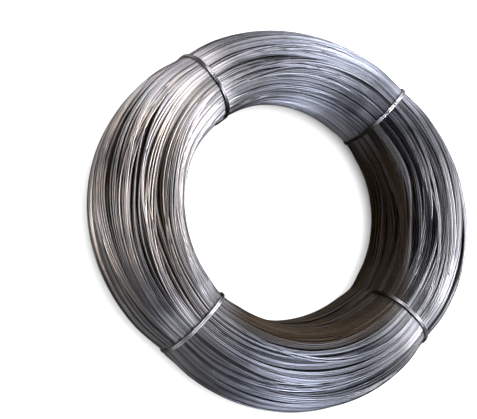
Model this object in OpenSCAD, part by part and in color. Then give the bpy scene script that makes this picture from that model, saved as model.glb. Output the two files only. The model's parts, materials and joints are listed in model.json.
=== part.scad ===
// Coil of steel binding wire, bound with wire ties.
// The coil lies on one end: its axis is +Z, and the origin is the centre of that end.
// +X is the direction that the tie angles are counted from, anticlockwise seen from above.

/* [Wire] */
// Diameter of the wire, in the coil and in the ties
wire_d = 2; // [1.6:0.1:4]

/* [Coil] */
// Diameter of the bore
bore_d = 262; // [200:2:300]
// Diameter over the outermost turns
coil_od = 445; // [400:5:600]
// Height of the coil, from end to end
coil_h = 105; // [90:5:200]
// Radius of the four rounded shoulders of the section
shoulder_r = 42; // [25:1:46]
// Distance from turn to turn over the section, as a share of the wire's diameter
turn_pitch_share = 0.95; // [0.85:0.01:0.98]
// Width of each turn's flattened crest, as a share of the wire's diameter
crest_share = 0.45; // [0.2:0.05:0.6]

/* [Ties] */
// Where the first tie sits round the coil, in degrees
tie_1_angle = 46; // [20:1:70]
// Where the second tie sits
tie_2_angle = 126; // [100:1:150]
// Where the third tie sits
tie_3_angle = 226; // [200:1:250]
// Where the fourth tie sits
tie_4_angle = 317; // [290:1:340]
// How many times each tie goes round the bundle
tie_turns = 2; // [1:1:3]
// How far a tie lies below the outer turns that it pulls in
tie_sink = 1.7; // [0.5:0.1:4]
// Room left between a tie and the turns that it binds
tie_clearance = 0.3; // [0.1:0.05:0.5]
// How far below level the knot sits on the lower outer shoulder, in degrees
knot_fall = 48; // [25:1:50]
// Twists in the knot
knot_twists = 4; // [2:1:6]
// Length of one twist, in wire diameters
knot_pitch_share = 3.6; // [3.4:0.1:5]

/* [Hidden] */

coil_colour = [0.40, 0.39, 0.40];
tie_colour = [0.58, 0.58, 0.60];

$fn = 96;
wire_r = wire_d / 2;
bore_r = bore_d / 2;
rim_r = coil_od / 2;
bundle_w = rim_r - bore_r;

// The shoulders leave a flat on each end and a straight wall at the bore and the rim,
// each at least as wide as the wire.
shoulder = min(shoulder_r, (min(bundle_w, coil_h) - wire_d) / 2);

// The turns' centres follow the section's outline, one wire radius inside it.
// The outline runs from the bore round the floor end, the rim and the top end, back to the bore.
turn_corner_r = shoulder - wire_r;
shoulder_run = turn_corner_r * PI / 2;
end_run = bundle_w - 2 * shoulder;
rim_run = coil_h - 2 * shoulder;
straight_runs = [end_run, rim_run, end_run, 0];
outline_run = 4 * shoulder_run + 2 * end_run + rim_run;
turn_count = ceil(outline_run / (wire_d * turn_pitch_share));
turn_pitch = outline_run / turn_count;
crest_w = crest_share * wire_d;
valley_h = sqrt(wire_r * wire_r - turn_pitch * turn_pitch / 4);

tie_angles = [tie_1_angle, tie_2_angle, tie_3_angle, tie_4_angle];

// Each tie lies in a slot that is just wide enough for its strands at the bore.
strand_gap = wire_d / 20;
strand_pitch = wire_d + strand_gap;
slot_w = (tie_turns - 1) * strand_pitch + wire_d + 2 * tie_clearance;
slot_angle = 2 * asin(slot_w / 2 / bore_r);

// A tie's centre line runs this far inside the coil's surface, and the waist lies below the tie.
tie_inset = tie_sink + wire_r;
tie_corner_r = shoulder - tie_inset;
tie_pinch = tie_sink + wire_d + tie_clearance;

// The knot's two tails wind round each other on an axis that follows the coil round,
// just clear of the lower outer shoulder. The strands leave the bundle one lead before and after it.
knot_out = [cos(knot_fall), -sin(knot_fall)];
knot_up = [sin(knot_fall), cos(knot_fall)];
tail_r = wire_r * 1.12;
tail_run = knot_twists * knot_pitch_share * wire_d;
tail_start = slot_w / 2 + 2 * wire_d;
tail_lead = 4 * wire_d;
knot_turn = 90 - knot_fall;
lead_turn = tail_lead / tie_corner_r * 180 / PI;

// Facets of the swept tie wire
wire_sides = 8;
corner_steps = 9;
lead_steps = 5;
twist_steps = 9;

// The four corners of the section's outline, in the order that the outline passes them:
// each corner's centre lies one shoulder inside both sides, and turns from this angle by 90 degrees.
corner_angles = [180, 270, 0, 90];
function corner_centre(i) =
    [i == 0 || i == 3 ? bore_r + shoulder : rim_r - shoulder,
     i < 2 ? shoulder : coil_h - shoulder];

function on_circle(centre, radius, angle) = centre + radius * [cos(angle), sin(angle)];

// Point and outward angle at a distance s along the line of turn centres, found corner by corner
function outline_at(s, i = 0) =
    let (past = s - shoulder_run, turned = corner_angles[i] + 90 * min(1, s / shoulder_run))
    past > straight_runs[i] && i < 3
        ? outline_at(past - straight_runs[i], i + 1)
        : [on_circle(corner_centre(i), turn_corner_r, turned)
           + max(0, past) * [-sin(turned), cos(turned)], turned];

// Point beside a turn's centre: along the outline, and out from it
function beside_turn(s, along, out) =
    let (at = outline_at(s), a = at[1])
    at[0] + along * [-sin(a), cos(a)] + out * [cos(a), sin(a)];

// Section of the wound turns: a ridge for each turn on the outline, a plain wall at the bore
module turns_section() {
    valleys = [for (k = [1 : turn_count]) beside_turn(k * turn_pitch, 0, valley_h)];
    ridges = [for (k = [0 : turn_count - 1])
        let (s = (k + 0.5) * turn_pitch)
        each [beside_turn(s, -crest_w / 2, wire_r),
              beside_turn(s, crest_w / 2, wire_r),
              if (k < turn_count - 1) valleys[k]]];
    polygon(concat([[bore_r, shoulder]], ridges, [[bore_r, coil_h - shoulder]]));
}

// Section of the waist under the ties: the same outline, pulled in all round by tie_pinch
module waist_section() {
    waist_corner_r = shoulder - tie_pinch;
    translate([bore_r + tie_pinch, shoulder])
        square([bundle_w - 2 * tie_pinch, rim_run]);
    translate([bore_r + shoulder, tie_pinch])
        square([end_run, coil_h - 2 * tie_pinch]);
    for (i = [0 : 3])
        translate(corner_centre(i)) circle(r = waist_corner_r);
}

// The wound bundle: a waist all the way round, and full turns from each tie to the next
module wire_coil() {
    last = len(tie_angles) - 1;
    color(coil_colour) {
        rotate_extrude() waist_section();
        for (i = [0 : last]) {
            start = tie_angles[i] + slot_angle / 2;
            next = i == last ? tie_angles[0] + 360 : tie_angles[i + 1];
            rotate([0, 0, start])
                rotate_extrude(angle = next - slot_angle / 2 - start) turns_section();
        }
    }
}

function unit(v) = v / norm(v);

function tangents(path) =
    [for (i = [0 : len(path) - 1])
        unit(path[min(i + 1, len(path) - 1)] - path[max(i - 1, 0)])];

// One normal for each point, carried along the path so that the swept ring never spins
function normals(ts, first) =
    [for (i = 0, n = unit(first - (first * ts[0]) * ts[0]);
          i < len(ts);
          i = i + 1, n = i < len(ts) ? unit(n - (n * ts[i]) * ts[i]) : n) n];

module swept_wire(path) {
    ts = tangents(path);
    ns = normals(ts, [1, 0, 0]);
    points = [for (i = [0 : len(path) - 1], k = [0 : wire_sides - 1])
        let (a = 360 * k / wire_sides)
        path[i] + wire_r * (cos(a) * ns[i] + sin(a) * cross(ts[i], ns[i]))];
    last = (len(path) - 1) * wire_sides;
    walls = [for (i = [0 : len(path) - 2], k = [0 : wire_sides - 1])
        let (a = i * wire_sides, next = (k + 1) % wire_sides)
        [a + k, a + wire_sides + k, a + wire_sides + next, a + next]];
    start_cap = [for (k = [0 : wire_sides - 1]) k];
    end_cap = [for (k = [wire_sides - 1 : -1 : 0]) last + k];
    polyhedron(points, concat([start_cap], walls, [end_cap]));
}

// A tie's own frame: x out from the coil's axis, y along the rim, z up.
function strand_y(turn) = (turn - (tie_turns - 1) / 2) * strand_pitch;

// The bend of a strand round one shoulder, between two angles counted from where the shoulder starts
function strand_bend(i, y, from = 0, to = 90) =
    let (steps = ceil(corner_steps * (to - from) / 90))
    [for (step = [0 : steps])
        let (p = on_circle(corner_centre(i), tie_corner_r,
                           corner_angles[i] + from + (to - from) * step / steps))
        [p[0], y, p[1]]];

// One turn of a strand, up the rim, over the top and down the bore
function strand_turn(y) = concat(strand_bend(2, y), strand_bend(3, y), strand_bend(0, y));

// All turns of a tie, from the knot round to the knot.
// The strand crosses to its next place on its way out under the floor end.
function strand_turns() =
    let (last = tie_turns - 1)
    concat(strand_bend(1, strand_y(0), knot_turn + lead_turn, 90),
           [for (turn = [0 : last])
               each concat(strand_turn(strand_y(turn)),
                           turn < last ? strand_bend(1, strand_y(turn + 1)) : [])],
           strand_bend(1, strand_y(last), 0, knot_turn - lead_turn));

// One tail of the knot, from where it leaves the bundle to its cut end
function tail(phase) =
    let (axis = corner_centre(1) + (shoulder + tail_r + wire_r + tie_clearance) * knot_out)
    [for (step = [0 : knot_twists * twist_steps])
        let (share = step / (knot_twists * twist_steps),
             angle = phase + 360 * knot_twists * share,
             y = tail_start + tail_run * share,
             p = axis + tail_r * (cos(angle) * knot_out + sin(angle) * knot_up),
             fall_back = axis[0] - sqrt(axis[0] ^ 2 - y ^ 2))
        [p[0] - fall_back, y, p[1]]];

// A lead that bends from a strand on the bundle into its tail
function lead(from, tail_first) =
    let (bend = [tail_first[0], from[1], tail_first[2]])
    [for (step = [1 : lead_steps - 1])
        let (t = step / lead_steps)
        (1 - t) ^ 2 * from + 2 * t * (1 - t) * bend + t ^ 2 * tail_first];

function reversed(list) = [for (i = [len(list) - 1 : -1 : 0]) list[i]];

// The whole centre line of a tie: cut end, knot, turns round the bundle, knot, cut end
function tie_path() =
    let (upper = tail(90), lower = tail(270), turns = strand_turns())
    concat(reversed(upper), reversed(lead(turns[0], upper[0])), turns,
           lead(turns[len(turns) - 1], lower[0]), lower);

module tie_wire(i) {
    color(tie_colour)
        rotate([0, 0, tie_angles[i]]) swept_wire(tie_path());
}

wire_coil();
tie_wire(0);  // tie_wire_1
tie_wire(1);  // tie_wire_2
tie_wire(2);  // tie_wire_3
tie_wire(3);  // tie_wire_4
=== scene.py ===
"""Coil of bare steel binding wire lying on its end: its strands, its four wire ties and a plain studio."""

import json
import math

import bpy
import numpy as np
from mathutils import Matrix, Vector


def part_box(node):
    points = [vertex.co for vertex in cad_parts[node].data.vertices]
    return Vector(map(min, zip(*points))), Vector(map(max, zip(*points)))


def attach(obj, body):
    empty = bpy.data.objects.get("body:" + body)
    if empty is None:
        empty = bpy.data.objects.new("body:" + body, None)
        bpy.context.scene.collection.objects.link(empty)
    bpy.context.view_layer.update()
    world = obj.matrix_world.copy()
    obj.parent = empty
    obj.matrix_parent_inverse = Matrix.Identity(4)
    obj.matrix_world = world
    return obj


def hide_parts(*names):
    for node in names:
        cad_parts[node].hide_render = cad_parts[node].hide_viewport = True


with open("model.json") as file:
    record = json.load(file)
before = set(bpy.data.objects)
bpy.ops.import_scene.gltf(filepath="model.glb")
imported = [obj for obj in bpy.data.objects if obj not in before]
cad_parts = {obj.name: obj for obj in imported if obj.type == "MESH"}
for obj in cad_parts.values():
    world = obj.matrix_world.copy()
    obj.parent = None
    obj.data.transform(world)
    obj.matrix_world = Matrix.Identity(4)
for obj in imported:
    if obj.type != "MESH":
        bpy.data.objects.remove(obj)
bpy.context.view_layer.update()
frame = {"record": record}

# Driving sizes of the coil and its ties, in metres and degrees. The main ones are the solid's own.
BORE = next(mount for mount in frame["record"]["mounts"] if mount["name"] == "bore")
BORE_R = BORE["dims"]["r_mm"] / 1000
RIM_R = round(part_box("wire_coil")[1][1], 4)
COIL_H = round(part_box("wire_coil")[1][2], 4)
BUNDLE_W = RIM_R - BORE_R
SHOULDER = 0.042
WIRE_R = 0.001
TIE_ANGLES = np.radians([46, 126, 226, 317])
TIE_SINK = 0.0017
TIE_CLEARANCE = 0.0003
TIE_STRAND_GAP = 0.0001

# A tie's knot on the lower outer shoulder: how far below level it sits, its twists and the length of one,
# how far its tails lie from its axis, how far beside the tie they start, and how far before and after the
# knot the strands leave the bundle
KNOT_FALL = math.radians(48)
KNOT_TWISTS = 4
KNOT_PITCH = 0.0072
KNOT_R = 1.12 * WIRE_R
KNOT_START = 4 * WIRE_R
KNOT_LEAD = 8 * WIRE_R

# The ties bite into the bundle: how deep, and the angles from a tie where the strands start to come up
# beside it and are up
TIE_BITE = 0.0018
BITE_RUN = np.radians([1.0, 12.0])

# The ties part the coil into four stretches: as the camera sees them, the top, the left, the bottom and
# the right. A list of four values has one for each stretch, unless it is the ties' own.

# Half-way along a stretch the bundle stands out this much further than beside its ties: at the rim, at the
# bore, on its top and on the floor
RIM_SWELL = np.array([-0.0018, 0.0157, 0.0062, 0.0087])
BORE_SWELL = np.array([-0.0058, -0.0038, 0.0012, 0.0027])
TOP_SWELL = np.array([-0.0010, 0.0072, 0.0022, 0.0000])
FLOOR_SWELL = 0.0022

# How the strands part: the widest groove on either side of a bunch, how far a bunch's middle stands out,
# and the least and greatest width of a bunch. Where the grooves are wide, the strands lie loose.
GROOVES = np.array([0.0009, 0.0024, 0.0016, 0.0026])
CROWNS = np.array([0.0007, 0.0024, 0.0016, 0.0030])
BUNCHES = np.array([[0.006, 0.012], [0.005, 0.010], [0.006, 0.012], [0.005, 0.011]])
LOOSENESS = GROOVES / GROOVES.max()

# Loose strands also stray from their places by about this much, up and down and aside
UNEVENNESS = 0.0006

# The strands don't run straight from tie to tie: neighbours lean together one way and then the other.
# How far they lean aside, and the width over which the lean comes round again
STRAND_LEAN = np.array([0.0015, 0.0044, 0.0025, 0.0052])
LEAN_WIDTH = 0.050

# Some strands lie sunk between their neighbours, where they are painted dark as shade: their share, and how
# deep
SUNK_SHARE = np.array([0.24, 0.32, 0.28, 0.44])
SUNK_DEPTH = 0.0014

# The steel: how warm it is in colour; how bright, which is its tone with painted light and shade, lighter
# or darker in each stretch as the light falls on it; how much darker it gets towards the stretch's far end;
# how much the bunches differ and how much the strands do; and how dark the sunk strands and the seams
# between bunches are painted, as shade
WARMTH = np.array([0.10, 1.00, 0.00, 0.15])
BRIGHTNESS = np.array([0.50, 0.92, 0.31, 0.49])
FADING = np.array([0.40, 0.45, -0.10, 0.00])
CONTRAST = np.array([0.30, 0.55, 0.45, 0.95])
STRAND_CONTRAST = np.array([0.60, 0.80, 0.70, 0.80])
SEAM_DARKNESS = 0.85

# Brightness and warmth blend across a tie over these shares of a stretch. Towards the bore the warm steel
# gets a painted highlight: brighter by one share, and less warm by the other.
BRIGHTNESS_BLEND = 0.15
WARMTH_BLEND = 0.3
BORE_GAIN = 0.3
BORE_PALING = 0.75

# The steel of the buried turns, painted dark as the shade they lie in, and of each tie, each painted
# lighter or darker as light and shade fall on it
CORE_TONE = 0.2
TIE_BRIGHTNESS = np.array([0.24, 0.16, 0.22, 0.15])
TIE_WARMTH = 0.6

# The turns in the bore are painted dark brown on one side of the coil: painted shade, partly grime. Where
# the coil is lit more, the painted shade keeps deeper in the bore. A tie is painted so up to the first of
# two radii, and not from the second.
SHADE_AND_GRIME_AT = math.radians(315)
LIGHTER_AT = math.radians(20)
SHADE_AND_GRIME_RETREAT = 0.4
TIE_SHADE_AND_GRIME_RADII = (BORE_R + 0.1 * BUNDLE_W, BORE_R + 0.3 * BUNDLE_W)

# The lower turns sag into the bore on one side: how far, where round the coil and over what angle, and the
# heights and radii over which the sag dies out
SAG = 0.018
SAG_AT = math.radians(307)
SAG_WIDTH = math.radians(58)
SAG_HEIGHTS = (0.25 * COIL_H, 0.75 * COIL_H)
SAG_RADII = (BORE_R, BORE_R + 0.45 * BUNDLE_W)

# Winding: the turns in the two layers that show, how far under the outer one the inner one and the buried
# turns lie, the objects that a layer is cut into, and the seed of all that is random
OUTER_TURNS = 158
INNER_TURNS = 122
INNER_DEPTH = 0.0026
CORE_DEPTH = 0.0065
OUTER_PIECES = 3
INNER_PIECES = 2
SEED = 3

# Loose ribbons of strands: how many, and the least and one more than the most strands in one. They lie on
# the open side of the section, which starts and runs on by these shares of the outline. They wander aside
# by about so much, fan out by up to a share of their width, and are lifted and toned within two limits.
LOOSE_RIBBONS = 13
RIBBON_STRANDS = (2, 6)
OPEN_FROM = 0.36
OPEN_RUN = 0.57
RIBBON_WANDER = 0.006
RIBBON_FAN = 0.6
RIBBON_LIFT = (0.0004, 0.0020)
RIBBON_TONES = (0.1, 0.9)

# Facets: steps round the coil and round the buried turns' section, points along a tie's turns, steps in a
# twist of its knot and in a lead to it, and the sides of the wires
STEPS_ROUND = 200
CORE_STEPS = 72
TIE_POINTS = 240
TWIST_STEPS = 14
LEAD_STEPS = 8
OUTER_SIDES = 6
INNER_SIDES = 4
TIE_SIDES = 10

# Metres on the surface map from one object of a layer to the next, and from one loose strand to the next,
# so that their streaks differ
PIECE_STRIDE = 100.0
STRAND_STRIDE = 10.0

# The outline of the section: four corners with a straight run after each
END_RUN = BUNDLE_W - 2 * SHOULDER
WALL_RUN = COIL_H - 2 * SHOULDER
CORNER_RUN = SHOULDER * math.pi / 2
CORNERS = np.array([
    [BORE_R + SHOULDER, SHOULDER],
    [RIM_R - SHOULDER, SHOULDER],
    [RIM_R - SHOULDER, COIL_H - SHOULDER],
    [BORE_R + SHOULDER, COIL_H - SHOULDER],
])
CORNER_TURN = np.radians([180, 270, 0, 90])
RUNS = np.array([CORNER_RUN, END_RUN, CORNER_RUN, WALL_RUN] * 2)
RUN_STARTS = np.concatenate([[0], np.cumsum(RUNS)])
PERIMETER = RUN_STARTS[-1]

# The stretches between ties, counted round from the first tie. An angle that rounding leaves this little
# short of a tie counts as past it.
SPANS = len(TIE_ANGLES)
SPAN_STARTS = TIE_ANGLES - TIE_ANGLES[0]
SPAN_WIDTHS = np.diff(np.append(SPAN_STARTS, 2 * math.pi))
ROUNDING = 1e-9

# Depth of a tie's centre line under the outline, and of the centres of the strands that it lies on
TIE_INSET = TIE_SINK + WIRE_R
TIE_BED = TIE_SINK + 3 * WIRE_R + TIE_CLEARANCE


def outline(s):
    """Radius, height and outward angle of the section's outline at distances s along it.

    The outline runs from the bore round the floor end, the rim and the top end, back down the bore.
    """
    s = np.mod(s, PERIMETER)
    run = np.clip(np.searchsorted(RUN_STARTS, s, side="right") - 1, 0, len(RUNS) - 1)
    corner, straight = run // 2, run % 2
    past = s - RUN_STARTS[run]
    angle = CORNER_TURN[corner] + np.where(straight, math.pi / 2, past / SHOULDER)
    past = np.where(straight, past, 0)
    radius = CORNERS[corner, 0] + SHOULDER * np.cos(angle) - past * np.sin(angle)
    height = CORNERS[corner, 1] + SHOULDER * np.sin(angle) + past * np.cos(angle)
    return radius, height, angle


def span_at(turn_angle):
    """Which stretch between ties an angle lies in, and how far along it, from 0 to 1."""
    past = np.mod(turn_angle, 2 * math.pi)
    span = np.searchsorted(SPAN_STARTS, past + ROUNDING, side="right") - 1
    return span, np.clip((past - SPAN_STARTS[span]) / SPAN_WIDTHS[span], 0, 1)


def smooth(low, high, x):
    """From 0 at low to 1 at high, eased."""
    t = np.clip((x - low) / (high - low), 0, 1)
    return t * t * (3 - 2 * t)


def bell(x, middle, width):
    """1 at the middle, dying out on both sides of it."""
    return np.exp(-(((x - middle) / width) ** 2))


def steel_at(s, span, along):
    """Brightness, with painted light and shade, and warmth of the steel, which change along each stretch
    and blend across its ties.
    """

    def level(starts, ends, reach):
        before = (ends[span - 1] - starts[span]) / 2 * (1 - smooth(0, reach, along))
        after = (starts[(span + 1) % SPANS] - ends[span]) / 2 * (1 - smooth(0, reach, 1 - along))
        return starts[span] + (ends[span] - starts[span]) * along + before + after

    brightness = level(BRIGHTNESS, BRIGHTNESS * (1 - FADING), BRIGHTNESS_BLEND)
    warmth = level(WARMTH, WARMTH, WARMTH_BLEND)
    # A painted highlight towards the bore, where the steel is warm
    inward = smooth(0, 0.8, -np.cos(outline(s)[2]))
    return brightness * (1 + BORE_GAIN * inward * warmth), warmth * (1 - BORE_PALING * inward)


def place(s, depth, turn_angle):
    """Points at distances s along the outline and a depth under it, their outward directions, and their
    painted shade and grime.
    """
    radius, height, angle = outline(s)
    out, up = np.cos(angle), np.sin(angle)
    around = turn_angle + TIE_ANGLES[0]
    past_sag = np.angle(np.exp(1j * (around - SAG_AT)))
    low = 1 - smooth(*SAG_HEIGHTS, height)
    near_bore = 1 - smooth(*SAG_RADII, radius)
    radius = radius - depth * out - SAG * bell(past_sag, 0, SAG_WIDTH) * low * near_bore
    height = np.maximum(height - depth * up, WIRE_R)
    points = np.stack([radius * np.cos(around), radius * np.sin(around), height], axis=-1)
    outward = np.stack([out * np.cos(around), out * np.sin(around), up], axis=-1)
    # Painted shade and grime: dark brown on the turns that face into the bore, on one side of the coil
    shade_and_grime_edge = SHADE_AND_GRIME_RETREAT * smooth(0.3, 0.9, np.cos(around - LIGHTER_AT))
    grime = smooth(0, 0.5, -out - shade_and_grime_edge) * smooth(-0.3, 0.3, np.cos(around - SHADE_AND_GRIME_AT))
    return points, outward, grime


def bundle_depth(s, span, along):
    """Depth of the outer strands' centres under the outline, with the ties' bite and the bundle's swell."""
    angle = outline(s)[2]
    out, up = np.cos(angle), np.sin(angle)
    rise = (
        RIM_SWELL[span] * np.maximum(out, 0) ** 2
        + BORE_SWELL[span] * np.maximum(-out, 0) ** 2
        + TOP_SWELL[span] * np.maximum(up, 0) ** 2
        + FLOOR_SWELL * np.maximum(-up, 0) ** 2
    )
    from_tie = np.minimum(along, 1 - along) * SPAN_WIDTHS[span]
    return TIE_BED - TIE_BITE * smooth(*BITE_RUN, from_tie) - rise * np.sin(math.pi * along)


class Bunches:
    """How the strands of one layer gather in bunches in one stretch between ties."""

    def __init__(self, rng, span):
        least, most = BUNCHES[span]
        lines = np.cumsum(rng.uniform(least, most, int(PERIMETER / least)))
        self.lines = np.concatenate([[-most], lines[lines < PERIMETER], [PERIMETER + most]])
        count = len(self.lines)
        self.widths = GROOVES[span] * rng.uniform(0.3, 1.0, count)
        self.crowns = CROWNS[span] * rng.uniform(0.2, 1.0, count)
        self.middles = rng.uniform(0.3, 0.7, count)
        self.lengths = rng.uniform(0.3, 0.8, count)
        self.tones = 1 - CONTRAST[span] * rng.uniform(0, 1, count)
        self.warmths = rng.uniform(0.5, 1.2, count)

    def gather(self, label, along):
        """For strands at places label: their move aside into the bunch and their rise with it,
        the bunch's tone and warmth, and the painted shade that darkens them in the seam beside the next
        bunch."""
        right = np.clip(np.searchsorted(self.lines, label), 1, len(self.lines) - 1)
        low, high = self.lines[right - 1], self.lines[right]
        across = (2 * label - low - high) / (high - low)
        line = np.where(across > 0, right, right - 1)
        opening = bell(along, self.middles[line], self.lengths[line])
        # Painted shade in the groove that opens between this bunch and the next
        seam = SEAM_DARKNESS * smooth(0.6, 0.95, -across) * opening
        aside = -across * self.widths[line] * opening
        rise = self.crowns[right] * (1 - across**2)
        return aside, rise, self.tones[right], self.warmths[right], seam


def wound_layer(rng, turns, below):
    """Centre line of one layer, wound as a single wire round and round the whole section.

    Returns its points, their outward directions and its looks: values by name, one for each point.
    """
    count = turns * STEPS_ROUND
    turn_angle = np.arange(count + 1) * 2 * math.pi / STEPS_ROUND
    turn = np.minimum(np.arange(count + 1) // STEPS_ROUND, turns - 1)
    span, along = span_at(turn_angle)
    open_share = np.sin(math.pi * along) ** 2

    label = (turn + 0.5) * PERIMETER / turns
    aside, rise, tone, warmth, seam = np.zeros((5, count + 1))
    for k in range(SPANS):
        here = span == k
        gathered = Bunches(rng, k).gather(label[here], along[here])
        aside[here], rise[here], tone[here], warmth[here], seam[here] = gathered
    lean_across, lean_along = rng.uniform(0, 2 * math.pi, (2, SPANS))
    lean = STRAND_LEAN[span] * np.sin(2 * math.pi * label / LEAN_WIDTH + lean_across[span])
    lean = lean * np.cos(2 * math.pi * along + lean_along[span])

    # Every strand varies from stretch to stretch, and every other one lies a little deeper.
    each = (turns, SPANS)
    every_other = (np.arange(turns) % 2)[:, None]
    lift = UNEVENNESS * LOOSENESS * (rng.uniform(-1, 0.6, each) - 1.2 * every_other)
    sway = UNEVENNESS * LOOSENESS * rng.normal(0, 1, each)
    phase = rng.uniform(0, 2 * math.pi, each)
    sunk = rng.uniform(0, 1, each) < SUNK_SHARE
    sunk_middle = rng.uniform(0.1, 0.9, each)
    sunk_length = rng.uniform(0.2, 0.6, each)
    strand_tone = 1 - STRAND_CONTRAST * rng.uniform(0, 1, each)
    strand_shade_and_grime = rng.uniform(0.82, 1, each)

    at = (turn, span)
    sinking = sunk[at] * bell(along, sunk_middle[at], sunk_length[at])
    waver = sway[at] * np.sin(2 * math.pi * along + phase[at])
    s = PERIMETER * turn_angle / turn_angle[-1] + open_share * (aside + waver + lean)
    depth = bundle_depth(s, span, along) + below
    depth = depth - open_share * (rise + lift[at]) + SUNK_DEPTH * sinking
    points, outward, grime = place(s, depth, turn_angle)

    brightness, steel_warmth = steel_at(s, span, along)
    # Seams and sunk strands get painted shade: darker, and dark brown where the steel is warm
    dark = 1 - (1 - seam) * (1 - SEAM_DARKNESS * sinking)
    tone = tone * brightness * strand_tone[at] * (1 - dark)
    grime = 1 - (1 - grime * strand_shade_and_grime[at]) * (1 - dark * steel_warmth)
    return points, outward, {"tone": tone, "warmth": warmth * steel_warmth, "grime": grime}


def loose_ribbon(rng, share):
    """A few closed turns that run side by side, and wander over the rest from tie to tie.

    The share tells where they lie on the open side of the section, from the rim at 0 to the bore at 1.
    """
    turn_angle = np.arange(STEPS_ROUND) * 2 * math.pi / STEPS_ROUND
    span, along = span_at(turn_angle)
    at_ties = (OPEN_FROM + OPEN_RUN * share) * PERIMETER + rng.normal(0, RIBBON_WANDER, SPANS + 1)
    at_ties[SPANS] = at_ties[0]
    ease = smooth(0, 1, along)
    bow = rng.normal(0, RIBBON_WANDER, SPANS) * LOOSENESS
    fan = rng.uniform(0, RIBBON_FAN, SPANS)
    lift = rng.uniform(*RIBBON_LIFT, SPANS) * (0.3 + 0.7 * LOOSENESS)
    open_share = np.sin(math.pi * along) ** 2
    middle = at_ties[span] * (1 - ease) + at_ties[span + 1] * ease + bow[span] * open_share
    brightness, warmth = steel_at(middle, span, along)
    strands = []
    for beside in range(rng.integers(*RIBBON_STRANDS)):
        s = middle + beside * 2 * WIRE_R * (1 + fan[span] * open_share)
        depth = bundle_depth(s, span, along) - lift[span] * open_share
        points, outward, grime = place(s, depth, turn_angle)
        tone = brightness * rng.uniform(*RIBBON_TONES)
        strands.append((points, outward, {"tone": tone, "warmth": warmth, "grime": grime}))
    return strands


def unit(vectors):
    return vectors / np.linalg.norm(vectors, axis=-1, keepdims=True)


def tube(points, outward, sides, closed=False, start=0.0):
    """Vertices, faces and surface map of a round wire along a centre line.

    The map gives metres along the wire, counted on from start, and turns round it from its inner side.
    """
    if closed:
        tangent = unit(np.roll(points, -1, axis=0) - np.roll(points, 1, axis=0))
    else:
        tangent = unit(np.gradient(points, axis=0))
    normal = unit(outward - np.sum(outward * tangent, axis=1, keepdims=True) * tangent)
    across = np.cross(tangent, normal)
    turn = 2 * math.pi * np.arange(sides) / sides + math.pi
    ring = np.cos(turn)[:, None] * normal[:, None, :] + np.sin(turn)[:, None] * across[:, None, :]
    vertices = (points[:, None, :] + WIRE_R * ring).reshape(-1, 3)
    count = len(points)
    here = np.arange(count if closed else count - 1)
    there = (here + 1) % count
    side = np.arange(sides)
    beside = (side + 1) % sides
    walls = np.stack([
        here[:, None] * sides + side,
        here[:, None] * sides + beside,
        there[:, None] * sides + beside,
        there[:, None] * sides + side,
    ], axis=-1).reshape(-1, 4).tolist()
    steps = np.linalg.norm(np.diff(points, axis=0, append=points[:1]), axis=1)
    run = start + np.concatenate([[0], np.cumsum(steps)])
    spots = np.empty((len(here), sides, 4, 2))
    spots[..., 0] = np.stack([run[here], run[here], run[here + 1], run[here + 1]], axis=-1)[:, None]
    spots[..., 1] = np.stack([side, side + 1, side + 1, side], axis=-1) / sides
    spots = spots.reshape(-1, 2)
    if not closed:
        walls.append(side[::-1].tolist())
        walls.append((side + (count - 1) * sides).tolist())
        spots = np.concatenate([spots, np.zeros((2 * sides, 2))])
    return vertices, walls, spots


def make_piece(name, wires, material, nodes):
    """One object from several wires, riding on the part and standing for its solid.

    Each wire has its vertices, its faces, its surface map, and its looks: values by name, one for each
    ring of vertices.
    """
    vertices, faces, offset = [], [], 0
    for points, walls, _, _ in wires:
        vertices.append(points)
        faces += [[v + offset for v in wall] for wall in walls]
        offset += len(points)
    mesh = bpy.data.meshes.new(name)
    mesh.from_pydata(np.concatenate(vertices).tolist(), [], faces)
    surface_map = np.concatenate([spots for _, _, spots, _ in wires])
    mesh.uv_layers.new(name="wire").data.foreach_set("uv", surface_map.astype(np.float32).ravel())
    for look in wires[0][3]:
        values = [np.repeat(looks[look], len(points) // len(looks[look])) for points, _, _, looks in wires]
        shades = mesh.attributes.new(look, "FLOAT", "POINT")
        shades.data.foreach_set("value", np.concatenate(values).astype(np.float32))
    mesh.shade_smooth()
    mesh.materials.append(material)
    piece = bpy.data.objects.new(name, mesh)
    bpy.context.scene.collection.objects.link(piece)
    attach(piece, "root")
    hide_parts(*nodes)


def wound_pieces(name, layer, sides, pieces, material):
    """The wire of one layer, cut into lengths that each make one object."""
    points, outward, looks = layer
    cuts = np.linspace(0, len(points) - 1, pieces + 1).astype(int)
    for i in range(pieces):
        cut = slice(cuts[i], cuts[i + 1] + 1)
        shape = tube(points[cut], outward[cut], sides, start=PIECE_STRIDE * i)
        wire = (*shape, {look: looks[look][cut] for look in looks})
        make_piece(f"{name}_{i + 1}", [wire], material, ["wire_coil"])


def loose_turns(rng, material):
    """Ribbons of loose strands, spread over the open side of the section, as one object."""
    shares = (np.arange(LOOSE_RIBBONS) + rng.uniform(0, 1, LOOSE_RIBBONS)) / LOOSE_RIBBONS
    strands = [strand for share in shares for strand in loose_ribbon(rng, share)]
    wires = [
        (*tube(points, outward, OUTER_SIDES, closed=True, start=STRAND_STRIDE * i), looks)
        for i, (points, outward, looks) in enumerate(strands)
    ]
    make_piece("loose_turns", wires, material, ["wire_coil"])


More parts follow.
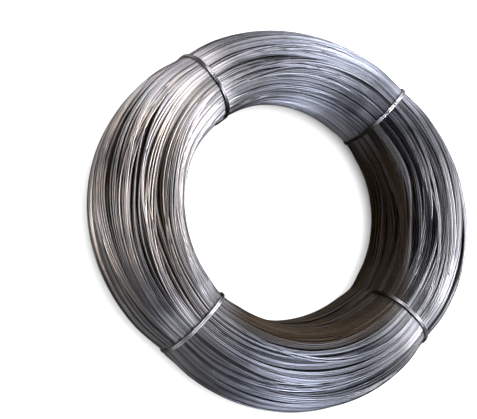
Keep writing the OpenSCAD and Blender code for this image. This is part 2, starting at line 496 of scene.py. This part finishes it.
def buried_turns(material):
    """The closed body of the turns that lie too deep to be seen one by one, painted dark as their shade."""
    turn_angle = np.repeat(np.arange(STEPS_ROUND) * 2 * math.pi / STEPS_ROUND, CORE_STEPS)
    s = np.tile(np.arange(CORE_STEPS) * PERIMETER / CORE_STEPS, STEPS_ROUND)
    span, along = span_at(turn_angle)
    points, _, grime = place(s, bundle_depth(s, span, along) + CORE_DEPTH, turn_angle)
    i, j = np.meshgrid(np.arange(STEPS_ROUND), np.arange(CORE_STEPS), indexing="ij")
    here, there = i * CORE_STEPS, (i + 1) % STEPS_ROUND * CORE_STEPS
    j_next = (j + 1) % CORE_STEPS
    faces = np.stack([here + j, there + j, there + j_next, here + j_next], axis=-1)
    map_along = np.stack([i, i + 1, i + 1, i], axis=-1) * (2 * math.pi * RIM_R / STEPS_ROUND)
    map_across = np.stack([j, j, j + 1, j + 1], axis=-1)
    spots = np.stack([map_along, map_across], axis=-1).reshape(-1, 2)
    # The buried turns' tone is painted shade
    tone = np.full(len(points), CORE_TONE)
    looks = {"tone": tone, "warmth": steel_at(s, span, along)[1], "grime": grime}
    body = (points, faces.reshape(-1, 4).tolist(), spots, looks)
    make_piece("buried_turns", [body], material, ["wire_coil"])


def tie_line():
    """Centre line of a tie in its own frame: x out from the coil's axis, y along the rim, z up.

    It runs from one cut end through the knot, twice round the bundle, and through the knot to the other.
    """
    pitch = 2 * WIRE_R + TIE_STRAND_GAP
    slot_w = pitch + 2 * WIRE_R + 2 * TIE_CLEARANCE
    tail_start = slot_w / 2 + KNOT_START
    knot_out = np.array([math.cos(KNOT_FALL), -math.sin(KNOT_FALL)])
    knot_up = np.array([math.sin(KNOT_FALL), math.cos(KNOT_FALL)])
    axis = CORNERS[1] + (SHOULDER + KNOT_R + WIRE_R + TIE_CLEARANCE) * knot_out

    def tail(phase):
        share = np.linspace(0, 1, KNOT_TWISTS * TWIST_STEPS + 1)
        angle = phase + 2 * math.pi * KNOT_TWISTS * share
        y = tail_start + KNOT_TWISTS * KNOT_PITCH * share
        spot = axis + KNOT_R * (np.cos(angle)[:, None] * knot_out + np.sin(angle)[:, None] * knot_up)
        fall_back = axis[0] - np.sqrt(axis[0] ** 2 - y**2)
        return np.stack([spot[:, 0] - fall_back, y, spot[:, 1]], axis=-1)

    def lead(start, end):
        bend = np.array([end[0], start[1], end[2]])
        t = np.linspace(0, 1, LEAD_STEPS + 1)[1:-1, None]
        return (1 - t) ** 2 * start + 2 * t * (1 - t) * bend + t**2 * end

    knot = RUN_STARTS[2] + SHOULDER * (math.pi / 2 - KNOT_FALL)
    reach = SHOULDER * KNOT_LEAD / (SHOULDER - TIE_INSET)
    s = np.linspace(knot + reach, knot + 2 * PERIMETER - reach, TIE_POINTS)
    radius, height, angle = outline(s)
    crossing = smooth(RUN_STARTS[1], RUN_STARTS[2], s - PERIMETER)
    y = pitch * (crossing - 0.5)
    turns = np.stack([radius - TIE_INSET * np.cos(angle), y, height - TIE_INSET * np.sin(angle)], axis=-1)
    upper, lower = tail(math.pi / 2), tail(3 * math.pi / 2)
    first_lead = lead(turns[0], upper[0])[::-1]
    last_lead = lead(turns[-1], lower[0])
    return np.concatenate([upper[::-1], first_lead, turns, last_lead, lower])


def carried_normals(points):
    """One normal for each point of a line, carried along it without a spin."""
    tangent = unit(np.gradient(points, axis=0))
    aslant = [0.3, 0.1, 1.0]
    normals = [np.cross(tangent[0], aslant)]
    for t in tangent[1:]:
        normals.append(unit(normals[-1] - np.dot(normals[-1], t) * t))
    return np.array(normals)


def tie_pieces(material):
    """The four ties, all of one shape, each turned to its place round the coil."""
    line = tie_line()
    normals = carried_normals(line)
    warmth = np.full(len(line), TIE_WARMTH)
    # Painted shade and grime on the tie where it runs into the bore
    grime = 1 - smooth(*TIE_SHADE_AND_GRIME_RADII, line[:, 0])
    for i, angle in enumerate(TIE_ANGLES):
        turn = np.array(Matrix.Rotation(angle, 3, "Z"))
        # Each tie's brightness is painted light and shade: the ties differ in how they lie to the light
        looks = {"tone": np.full(len(line), TIE_BRIGHTNESS[i]), "warmth": warmth, "grime": grime}
        wire = (*tube(line @ turn.T, normals @ turn.T, TIE_SIDES), looks)
        make_piece(f"tie_{i + 1}", [wire], material, [f"tie_wire_{i + 1}"])


class Value:
    """A number that varies over a surface; arithmetic on it adds Math nodes."""

    def __init__(self, shader, socket):
        self.shader = shader
        self.socket = socket

    def maths(self, operation, first, second):
        outputs = self.shader.node("ShaderNodeMath", {"operation": operation}, {0: first, 1: second})
        return Value(self.shader, outputs[0])

    def __add__(self, other):
        return self.maths("ADD", self, other)

    def __radd__(self, other):
        return self.maths("ADD", other, self)

    def __mul__(self, other):
        return self.maths("MULTIPLY", self, other)

    def __rmul__(self, other):
        return self.maths("MULTIPLY", other, self)


class Shader:
    """The node tree of one material."""

    def __init__(self, name):
        self.material = bpy.data.materials.new(name)
        self.material.use_nodes = True
        self.tree = self.material.node_tree
        self.tree.nodes.clear()

    def node(self, kind, settings, sockets):
        """A node with its settings and its sockets' values or links; returns its outputs."""
        made = self.tree.nodes.new(kind)
        for key, value in settings.items():
            setattr(made, key, value)
        for key, value in sockets.items():
            if isinstance(value, Value):
                value = value.socket
            if isinstance(value, bpy.types.NodeSocket):
                self.tree.links.new(value, made.inputs[key])
            else:
                made.inputs[key].default_value = value
        return made.outputs

    def attribute(self, name):
        return Value(self, self.node("ShaderNodeAttribute", {"attribute_name": name}, {})["Fac"])

    def noise(self, scale, roughness):
        place_on_piece = self.node("ShaderNodeTexCoord", {}, {})["Object"]
        sockets = {"Vector": place_on_piece, "Scale": scale, "Detail": 3, "Roughness": roughness}
        return Value(self, self.node("ShaderNodeTexNoise", {}, sockets)["Fac"])

    def streaks(self, along, across):
        """Noise drawn out along the wire: waves in a metre along it, and in one turn round it."""
        spot = self.node("ShaderNodeUVMap", {"uv_map": "wire"}, {})["UV"]
        drawn = self.node("ShaderNodeMapping", {}, {"Vector": spot, "Scale": (along, across, 1)})["Vector"]
        sockets = {"Vector": drawn, "Scale": 1, "Detail": 2}
        return Value(self, self.node("ShaderNodeTexNoise", {}, sockets)["Fac"])

    def step(self, value, low, high):
        """From 0 at low to 1 at high, eased."""
        settings = {"interpolation_type": "SMOOTHSTEP"}
        sockets = {"Value": value, "From Min": low, "From Max": high}
        return Value(self, self.node("ShaderNodeMapRange", settings, sockets)["Result"])

    def mix(self, share, first, second):
        return self.node("ShaderNodeMix", {"data_type": "RGBA"}, {0: share, 6: first, 7: second})[2]

    def finish(self, sockets):
        surface = self.node("ShaderNodeBsdfPrincipled", {}, sockets)["BSDF"]
        self.node("ShaderNodeOutputMaterial", {}, {"Surface": surface})
        return self.material


COLD_TINT = (0.88, 0.90, 1.0, 1)
# The dark brown of the painted shade and grime
SHADE_AND_GRIME_COLOUR = (0.014, 0.0095, 0.0055, 1)
STEEL_EDGE_TINT = (0.10, 0.09, 0.09, 1)


def wire_steel(name, brightness, warm, roughness):
    """Drawn steel: strands of uneven shade, partly painted light and shade, blue-grey or warm, with painted
    shade and grime in dark brown on some of them.
    """
    shader = Shader(name)
    tone = shader.attribute("tone")
    grime = shader.attribute("grime")
    patches = shader.step(shader.noise(14, 0.6), 0.35, 0.65)
    bright_stretches = shader.step(shader.streaks(8, 0.6), 0.3, 0.7)
    die_lines = shader.streaks(70, 7)
    shade = tone * (0.7 + 0.25 * patches + 0.35 * bright_stretches) * brightness
    tint = shader.mix(shader.attribute("warmth") * (0.6 + 0.4 * patches), COLD_TINT, warm)
    steel = shader.node("ShaderNodeVectorMath", {"operation": "SCALE"}, {0: tint, "Scale": shade})[0]
    # The painted shade and grime turn the steel dark brown
    colour = shader.mix(grime * (0.93 + 0.07 * bright_stretches), steel, SHADE_AND_GRIME_COLOUR)
    relief = {"Strength": 0.05, "Distance": 0.0001, "Height": die_lines}
    return shader.finish({
        "Base Color": colour,
        "Metallic": 1.0,
        "Specular Tint": STEEL_EDGE_TINT,
        "Roughness": roughness + 0.1 * die_lines + 0.1 * patches + 0.2 * grime,
        "Normal": shader.node("ShaderNodeBump", {}, relief)["Normal"],
    })


def floor_material():
    """The pale floor, faintly mottled."""
    shader = Shader("pale_floor")
    mottling = shader.step(shader.noise(3, 0.5), 0.3, 0.7)
    colour = shader.mix(mottling, (0.86, 0.86, 0.86, 1), (0.9, 0.9, 0.9, 1))
    return shader.finish({"Base Color": colour, "Roughness": 0.9})


FLOOR_REACH = 6
SKY_COLOUR = (0.9, 0.93, 1.0, 1)
SKY_STRENGTH = 0.09

# Each light: the way it shines from, round the coil and above the floor in degrees, then its distance and
# size in metres, its power in watts and its colour
LIGHTS = {
    "glare_light": (-5, 38, 2.0, 0.50, 66, (1.0, 0.98, 0.96)),
    "streak_light": (12, 27, 2.0, 0.50, 42, (1.0, 1.0, 1.0)),
    "sky_light": (-51, 58, 2.0, 0.45, 66, (0.78, 0.84, 1.0)),
    "low_light": (-75, 25, 2.0, 0.45, 34, (0.82, 0.88, 1.0)),
    "window_light": (52, 26, 2.0, 0.45, 64, (0.85, 0.90, 1.0)),
    "rim_light": (83, 54, 2.0, 0.45, 46, (0.97, 0.97, 1.0)),
    "side_light": (171, 51, 2.0, 0.50, 30, (1.0, 0.96, 0.93)),
    "floor_light": (0, 90, 4.0, 8.0, 840, (1.0, 1.0, 1.0)),
}


def pale_floor():
    """The floor that the coil lies on."""
    mesh = bpy.data.meshes.new("floor")
    size = FLOOR_REACH
    corners = [(-size, -size, 0), (size, -size, 0), (size, size, 0), (-size, size, 0)]
    mesh.from_pydata(corners, [], [(0, 1, 2, 3)])
    mesh.materials.append(floor_material())
    floor = bpy.data.objects.new("floor", mesh)
    bpy.context.scene.collection.objects.link(floor)
    return floor


def studio_light(floor):
    """A dim sky, lights for the coil alone, and one from straight above that the steel doesn't mirror.

    The lights for the coil keep off the floor, so that it throws no long shadows there.
    """
    world = bpy.data.worlds.new("studio")
    world.use_nodes = True
    background = world.node_tree.nodes["Background"]
    background.inputs["Color"].default_value = SKY_COLOUR
    background.inputs["Strength"].default_value = SKY_STRENGTH
    bpy.context.scene.world = world
    bpy.context.scene.view_settings.view_transform = "Standard"

    off_floor = bpy.data.collections.new("off_floor")
    off_floor.objects.link(floor)
    off_floor.collection_objects[0].light_linking.link_state = "EXCLUDE"

    for name, (around, above, distance, size, power, colour) in LIGHTS.items():
        lamp = bpy.data.lights.new(name, "AREA")
        lamp.shape = "DISK"
        lamp.size = size
        lamp.energy = power
        lamp.color = colour
        light = bpy.data.objects.new(name, lamp)
        a, e = math.radians(around), math.radians(above)
        way = Vector((math.cos(a) * math.cos(e), math.sin(a) * math.cos(e), math.sin(e)))
        light.location = Vector((0, 0, COIL_H / 2)) + way * distance
        light.rotation_mode = "QUATERNION"
        light.rotation_quaternion = (-way).to_track_quat("-Z", "Y")
        if name == "floor_light":
            light.visible_glossy = False
        else:
            light.light_linking.receiver_collection = off_floor
        bpy.context.scene.collection.objects.link(light)


# The picture: its size in pixels, where the coil's centre is in it, and the metres to a pixel there.
# The coil's axis leans out of the line of sight by AXIS_LEAN, to the picture direction AXIS_LEAN_TO.
PICTURE_W, PICTURE_H = 477, 419
COIL_PX = Vector((287.5, 214.8))
METRES_PER_PX = 0.0011662
AXIS_LEAN = math.radians(25.4)
AXIS_LEAN_TO = math.radians(28.7)
CAMERA_DISTANCE = 1.5
SENSOR_W = 36.0


def camera():
    """Looks down on the coil from the side where its outer wall shows."""
    data = bpy.data.cameras.new("camera")
    data.sensor_width = SENSOR_W
    data.lens = CAMERA_DISTANCE / METRES_PER_PX * SENSOR_W / PICTURE_W
    turn = Matrix.Rotation(AXIS_LEAN_TO, 3, "Z")
    tilt = Matrix.Rotation(-AXIS_LEAN, 3, "Y")
    view = turn @ tilt @ turn.inverted()
    right, up, back = view.col
    aside = (COIL_PX.x - PICTURE_W / 2) * METRES_PER_PX
    below = (COIL_PX.y - PICTURE_H / 2) * METRES_PER_PX
    aim = Vector((0, 0, COIL_H / 2)) - right * aside + up * below
    made = bpy.data.objects.new("camera", data)
    made.matrix_world = Matrix.Translation(aim + back * CAMERA_DISTANCE) @ view.to_4x4()
    bpy.context.scene.collection.objects.link(made)
    bpy.context.scene.camera = made


def coil():
    """The whole coil: two wound layers, loose strands over them, the turns under them, and the ties."""
    rng = np.random.default_rng(SEED)
    outer_steel = wire_steel("outer_strands", brightness=0.45, warm=(1.0, 0.86, 0.77, 1), roughness=0.24)
    # The inner layer and the buried turns are the same steel, painted darker and browner as the shade that
    # they lie in
    inner_steel = wire_steel("inner_strands", brightness=0.12, warm=(1.0, 0.70, 0.48, 1), roughness=0.35)
    core_steel = wire_steel("buried_strands", brightness=0.1, warm=(1.0, 0.70, 0.50, 1), roughness=0.6)
    tie_steel = wire_steel("tie_strands", brightness=0.9, warm=(1.0, 0.95, 0.9, 1), roughness=0.2)
    outer_layer = wound_layer(rng, OUTER_TURNS, 0)
    wound_pieces("outer_turns", outer_layer, OUTER_SIDES, OUTER_PIECES, outer_steel)
    inner_layer = wound_layer(rng, INNER_TURNS, INNER_DEPTH)
    wound_pieces("inner_turns", inner_layer, INNER_SIDES, INNER_PIECES, inner_steel)
    loose_turns(rng, outer_steel)
    buried_turns(core_steel)
    tie_pieces(tie_steel)


coil()
studio_light(pale_floor())
camera()
